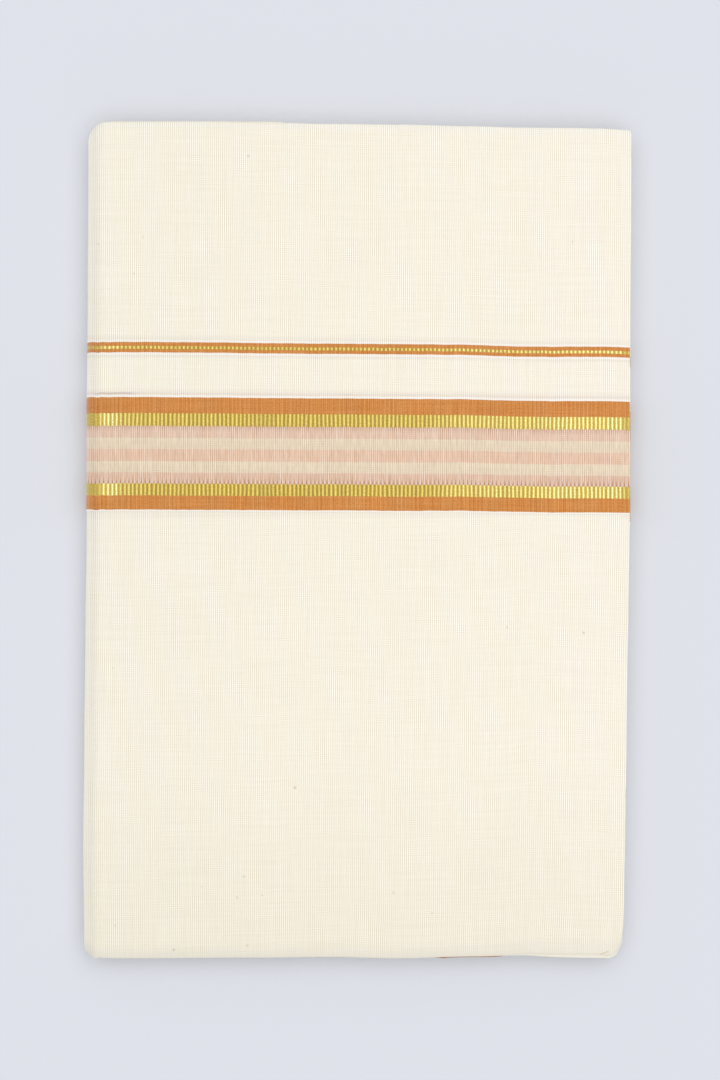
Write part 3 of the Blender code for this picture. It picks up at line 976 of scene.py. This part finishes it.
# Ground yarns. Short thick stretches run both ways through the whole cloth, and the reed's lines come
# and go in patches and fade at the foot crease.
FOOT_CREASE = FLAP_REACH + FOLD_LENGTH
fine_upright = streaks(tree, 2300, 260, 1.0, 2.2)
cloudy = streaks(tree, 22, 17, 3.0, 5.7)
thread_sum = upright
for yarn, share in ((level_yarn, 0.9), (fine_upright, 0.6), (cloudy, 0.1)):
    thread_sum = maths(tree, "ADD", thread_sum, times(tree, yarn, share))
thread_tone = spread_out(tree, thread_sum, 0.75, 1.85, 0.945, 1.055)
reed_patches = streaks(tree, 75, 75, 1.0, 4.4)
reed_strength = spread_out(tree, reed_patches, 0.3, 0.7, 0.05, 0.18)
reed_strength = times(tree, reed_strength, maths(tree, "SUBTRACT", 1.0, times(tree, is_gold, 0.8)))
from_foot = maths(tree, "ABSOLUTE", maths(tree, "SUBTRACT", across_cloth, FOOT_CREASE))
reed_strength = times(tree, reed_strength, spread_out(tree, from_foot, 0.001, 0.006, 0.25, 1.0))
reed_tone = maths(tree, "ADD", 1.0, times(tree, reed_wave, reed_strength))
slub_wave = maths(tree, "SINE", times(tree, across_cloth, FULL_TURN / REED_PITCH))
slub_patches = streaks(tree, 110, 190, 1.0, 21.4)
slub_strength = spread_out(tree, slub_patches, 0.60, 0.74, 0.0, 0.07)
slub_tone = maths(tree, "ADD", 1.0, times(tree, slub_wave, slub_strength))
cloth_tone = maths(tree, "SUBTRACT", times(tree, thread_tone, reed_tone, slub_tone), 1.0)

# Where the threads stand open the cloth is not only darker but also yellower
OPEN_WEAVE = (0.82, 0.97, 1.34)
weave_tone = node(tree, "VectorMath", {0: cloth_tone, 1: OPEN_WEAVE, 2: (1, 1, 1)}, operation="MULTIPLY_ADD")

# Painted shade and light. Along the top leaf the colour is painted a little lighter at its right end and
# darker towards the spine, a painted shade that is deepest just before the leaf rolls over there, and the
# roll itself is painted paler, a painted highlight.
PaintedLightRow = namedtuple("PaintedLightRow", "along red green blue")
TOP_LEAF_PAINTED_SHADE_AND_LIGHT = (
    PaintedLightRow(along=0.0000, red=1.004, green=1.000, blue=1.006),
    PaintedLightRow(along=0.0200, red=1.006, green=1.001, blue=1.011),
    PaintedLightRow(along=0.0450, red=0.999, green=0.994, blue=0.994),
    PaintedLightRow(along=0.0750, red=0.997, green=0.992, blue=0.991),
    PaintedLightRow(along=0.1000, red=0.993, green=0.988, blue=0.984),
    PaintedLightRow(along=0.1250, red=0.989, green=0.984, blue=0.978),
    PaintedLightRow(along=0.1500, red=0.988, green=0.982, blue=0.977),
    PaintedLightRow(along=0.1800, red=0.976, green=0.974, blue=0.968),
    PaintedLightRow(along=0.2220, red=0.968, green=0.971, blue=0.968),
)
# Painted shade where the spine starts to roll, then a painted highlight on the roll itself
SPINE_PAINTED_SHADE_AND_HIGHLIGHT = (
    PaintedLightRow(along=0.2220, red=0.968, green=0.971, blue=0.968),
    PaintedLightRow(along=0.2240, red=0.955, green=0.958, blue=0.955),
    PaintedLightRow(along=0.2260, red=0.901, green=0.903, blue=0.906),
    PaintedLightRow(along=0.2270, red=0.889, green=0.892, blue=0.897),
    PaintedLightRow(along=0.2281, red=0.926, green=0.931, blue=0.940),
    PaintedLightRow(along=0.2292, red=1.011, green=1.021, blue=1.031),
    PaintedLightRow(along=0.2300, red=1.080, green=1.107, blue=1.100),
    PaintedLightRow(along=0.2310, red=1.110, green=1.120, blue=1.130),
    PaintedLightRow(along=0.2325, red=1.120, green=1.135, blue=1.145),
    PaintedLightRow(along=0.2360, red=1.100, green=1.110, blue=1.120),
    PaintedLightRow(along=0.2440, red=1.001, green=1.001, blue=1.001),
)
BRIGHTEST = 1.25
painted_light = None
for rows in (TOP_LEAF_PAINTED_SHADE_AND_LIGHT, SPINE_PAINTED_SHADE_AND_HIGHLIGHT):
    start, end = rows[0].along, rows[-1].along
    stops = []
    for row in rows:
        place = (row.along - start) / (end - start)
        stops.append((place, (row.red / BRIGHTEST, row.green / BRIGHTEST, row.blue / BRIGHTEST, 1.0)))
    toned = ramp_of(tree, spread_out(tree, along_cloth, start, end), stops)
    if painted_light is None:
        painted_light = toned
    else:
        painted_light = blend(tree, maths(tree, "GREATER_THAN", along_cloth, start), painted_light, toned)
painted_light_scaled = node(tree, "VectorMath", {0: painted_light, "Scale": BRIGHTEST}, operation="SCALE")

coloured = tinted(tree, 1.0, coloured, weave_tone.outputs[0])
# The painted shade and painted highlight laid over the cloth's colour
coloured = tinted(tree, 1.0, coloured, painted_light_scaled.outputs[0])

# Painted shade and light on the top leaf: it is painted darker and warmer towards the foot, where the
# light falls off, with more painted shade on the roll of its foot crease, and a cool painted reflection
# along the top crease. The flap's edge casts a painted shadow on the ply below it. The far selvedge, of
# which a sliver shows at the foot, is painted darker and bluer as shade.
TOP_LEAF_ENDS = 0.236
FOOT_SHADE_REACH = 0.085
# Painted shade: darker and warmer towards the foot, and greyer on the roll of the foot crease
FOOT_PAINTED_SHADE = (0.952, 0.946, 0.925, 1.0)
FOOT_ROLL_PAINTED_SHADE = (0.962, 0.972, 0.988, 1.0)
# Painted reflection of the pale blue room on the rounded top crease
TOP_CREASE_PAINTED_REFLECTION = (0.980, 0.997, 1.025, 1.0)
# Painted shadow of the flap's edge on the ply below it
FLAP_EDGE_PAINTED_SHADOW = (0.955, 0.952, 0.962, 1.0)
FAR_SELVEDGE_PAINTED_SHADE = (0.66, 0.72, 1.30, 1.0)
FLAP_SHADOW_ACROSS = 2 * FLAP_REACH
on_top_leaf = maths(tree, "LESS_THAN", along_cloth, TOP_LEAF_ENDS)
foot_painted_shade = spread_out(tree, across_cloth, FOOT_CREASE - FOOT_SHADE_REACH, FOOT_CREASE)
foot_roll_shade = spread_out(tree, from_foot, 0.0032, 0.0070, 1.0, 0.0)
from_crease = maths(tree, "ABSOLUTE", maths(tree, "SUBTRACT", across_cloth, FLAP_REACH))
top_crease_reflection = spread_out(tree, from_crease, 0.0018, 0.0034, 1.0, 0.0)
flap_edge_shadow = between(tree, across_cloth, FLAP_SHADOW_ACROSS - 0.0010, FLAP_SHADOW_ACROSS + 0.0012, 0.0018)
painted_marks = (
    (foot_painted_shade, FOOT_PAINTED_SHADE),
    (foot_roll_shade, FOOT_ROLL_PAINTED_SHADE),
    (top_crease_reflection, TOP_CREASE_PAINTED_REFLECTION),
    (flap_edge_shadow, FLAP_EDGE_PAINTED_SHADOW),
)
for mark, tint in painted_marks:
    coloured = tinted(tree, times(tree, mark, on_top_leaf), coloured, tint)
# Painted shade on the far selvedge, where its sliver lies in shadow at the foot
far_selvedge_shade = spread_out(tree, across_cloth, CLOTH_WIDTH - 0.0030, CLOTH_WIDTH - 0.0020)
coloured = tinted(tree, far_selvedge_shade, coloured, FAR_SELVEDGE_PAINTED_SHADE)

# The open corner at the foot was bent back once, and the crease this left is drawn as a short yellow-brown
# line of painted shade
BENT_FROM = (0.0094, 0.5205)
BENT_TO = (0.0062, 0.5189)
BENT_CREASE_PAINTED_SHADE = dye(196, 172, 122)
bent_run = (BENT_TO[0] - BENT_FROM[0], BENT_TO[1] - BENT_FROM[1])
bent_length = math.hypot(*bent_run)
bent_x, bent_y = (part / bent_length for part in bent_run)
from_bend = node(tree, "VectorMath", {0: weave_place, 1: (*BENT_FROM, 0)}, operation="SUBTRACT")
bend_places = []
for way in ((bent_x, bent_y, 0), (-bent_y, bent_x, 0)):
    made = node(tree, "VectorMath", {0: from_bend.outputs[0], 1: way}, operation="DOT_PRODUCT")
    bend_places.append(made.outputs["Value"])
on_bend = between(tree, bend_places[0], 0.0, bent_length, 0.0008)
near_bend = between(tree, bend_places[1], -0.0001, 0.0001, 0.0003)
coloured = blend(tree, times(tree, on_bend, near_bend, 0.45), coloured, BENT_CREASE_PAINTED_SHADE)

# Seed specks, the bits of husk that stay in plain cotton. The darkest of the top leaf are placed one by
# one, in millimetres along and across, and the others are scattered over the rest of the cloth.
SpeckRow = namedtuple("SpeckRow", "along across size dark")
SPECKS = (
    SpeckRow(162.4, 151.3, 0.75, 0.30),
    SpeckRow(206.9, 116.5, 0.55, 0.18),
    SpeckRow(24.6, 116.9, 0.55, 0.20),
    SpeckRow(210.7, 100.8, 0.60, 0.20),
    SpeckRow(225.9, 113.5, 0.70, 0.14),
    SpeckRow(51.3, 380.5, 0.65, 0.22),
    SpeckRow(18.7, 383.0, 0.80, 0.30),
    SpeckRow(218.3, 396.6, 0.60, 0.20),
    SpeckRow(140.5, 448.3, 0.95, 0.32),
    SpeckRow(161.8, 485.6, 0.75, 0.26),
    SpeckRow(179.9, 489.8, 0.55, 0.18),
    SpeckRow(98.2, 492.4, 0.85, 0.18),
    SpeckRow(154.1, 493.6, 0.55, 0.28),
    SpeckRow(164.7, 494.5, 0.75, 0.22),
    SpeckRow(81.7, 501.3, 0.65, 0.18),
    SpeckRow(191.7, 516.5, 0.70, 0.36),
    SpeckRow(216.9, 505.9, 0.90, 0.12),
    SpeckRow(160.2, 514.8, 0.90, 0.16),
)
SEEDS_PER_METRE = 32
SEEDS_LEFT_OUT = 0.55
HUSK_BROWN = dye(120, 98, 74)
scattered = node(
    tree,
    "TexVoronoi",
    {"Vector": weave_place, "Scale": SEEDS_PER_METRE, "Randomness": 1.0},
    voronoi_dimensions="2D",
)
seed_spot = spread_out(tree, scattered.outputs["Distance"], 0.008, 0.018, 0.20, 0.0)
seed_colour = node(tree, "SeparateColor", {"Color": scattered.outputs["Color"]})
past_spine = maths(tree, "GREATER_THAN", along_cloth, TOP_LEAF_ENDS)
kept_seeds = maths(tree, "GREATER_THAN", seed_colour.outputs[0], SEEDS_LEFT_OUT)
speckled = times(tree, seed_spot, kept_seeds, past_spine)
for row in SPECKS:
    place = (row.along / 1000, row.across / 1000, 0)
    away = node(tree, "VectorMath", {0: weave_place, 1: place}, operation="DISTANCE")
    spot = spread_out(tree, away.outputs["Value"], row.size / 4000, row.size / 1000, row.dark, 0.0)
    speckled = maths(tree, "MAXIMUM", speckled, spot)
coloured = blend(tree, speckled, coloured, HUSK_BROWN)
tree.links.new(coloured, cotton_shader.inputs["Base Color"])

# Relief and sheen. The plain weave, the slubs and the ribs stand up a little. The gold thread is
# smoother than the cotton and partly metal, and the cotton has a soft nap.
THREAD_PITCH = 0.00030
RELIEF_HEIGHT = 0.00006
COTTON_ROUGH = 0.86
GOLD_ROUGH = 0.48
warp_wave = maths(tree, "SINE", times(tree, across_cloth, FULL_TURN / THREAD_PITCH))
weft_wave = maths(tree, "SINE", times(tree, along_cloth, FULL_TURN / THREAD_PITCH))
relief = maths(tree, "ADD", times(tree, warp_wave, weft_wave, 0.25), thread_sum)
rib_share = maths(tree, "ADD", is_gold, times(tree, is_orange, 0.3))
relief = maths(tree, "ADD", relief, times(tree, rib_bar, rib_share, 1.6))
bump = node(tree, "Bump", {"Height": relief, "Strength": 0.5, "Distance": RELIEF_HEIGHT})
tree.links.new(bump.outputs["Normal"], cotton_shader.inputs["Normal"])
tree.links.new(times(tree, is_gold, rib_bar, 0.35), cotton_shader.inputs["Metallic"])
yarn_roughness = spread_out(tree, is_gold, 0, 1, COTTON_ROUGH, GOLD_ROUGH)
tree.links.new(yarn_roughness, cotton_shader.inputs["Roughness"])
cotton_shader.inputs["Sheen Weight"].default_value = 0.45
cotton_shader.inputs["Sheen Roughness"].default_value = 0.6
cotton_shader.inputs["Specular IOR Level"].default_value = 0.25

outer_leaf.data.materials.append(cotton)
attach(outer_leaf, "root")
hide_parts("border_leaf", "plain_leaf")

# Inner leaves. The rest of the same length, folded back and forth between the outer leaf's two
# sides, fourteen leaves of four plies that end in the free edge just under the top one.
INNER_FLAP_STEP = 0.018
INNER_SECOND_STEP = 0.026
INNER_ROW_STEP = 0.030
inner_rows = cross_rows(
    flap=shares(FLAP_REACH, AT_SELVEDGE, HIDDEN_CREASE, INNER_FLAP_STEP),
    second=shares(FOLD_LENGTH, HIDDEN_CREASE, HIDDEN_CREASE, INNER_SECOND_STEP),
    third=shares(FOLD_LENGTH, HIDDEN_CREASE, HIDDEN_CREASE, INNER_ROW_STEP),
    fourth=shares(FOLD_LENGTH, HIDDEN_CREASE, AT_SELVEDGE, INNER_ROW_STEP),
    crease_steps=4,
)
INNER_LEAF_STEP = 0.0125
INNER_SPINE_STEPS = 14
INNER_TURN_STEPS = 10
inner_walk = walk_cloth(
    long_steps=lambda number: UNDER_LEAF_STEP if number == LEAVES_IN_OUTER else INNER_LEAF_STEP,
    turn_steps=lambda number: INNER_SPINE_STEPS if number % 2 == 0 else INNER_TURN_STEPS,
    edge_steps=AT_FREE_END,
)
inner_start = next(
    place for place, station in enumerate(inner_walk) if station.leaf_from == LEAVES_IN_OUTER
)
inner_leaves = folded_cloth("inner_leaves", inner_walk[inner_start + 1 :], inner_rows)
inner_leaves.data.materials.append(cotton)
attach(inner_leaves, "root")
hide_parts("hidden_layers")
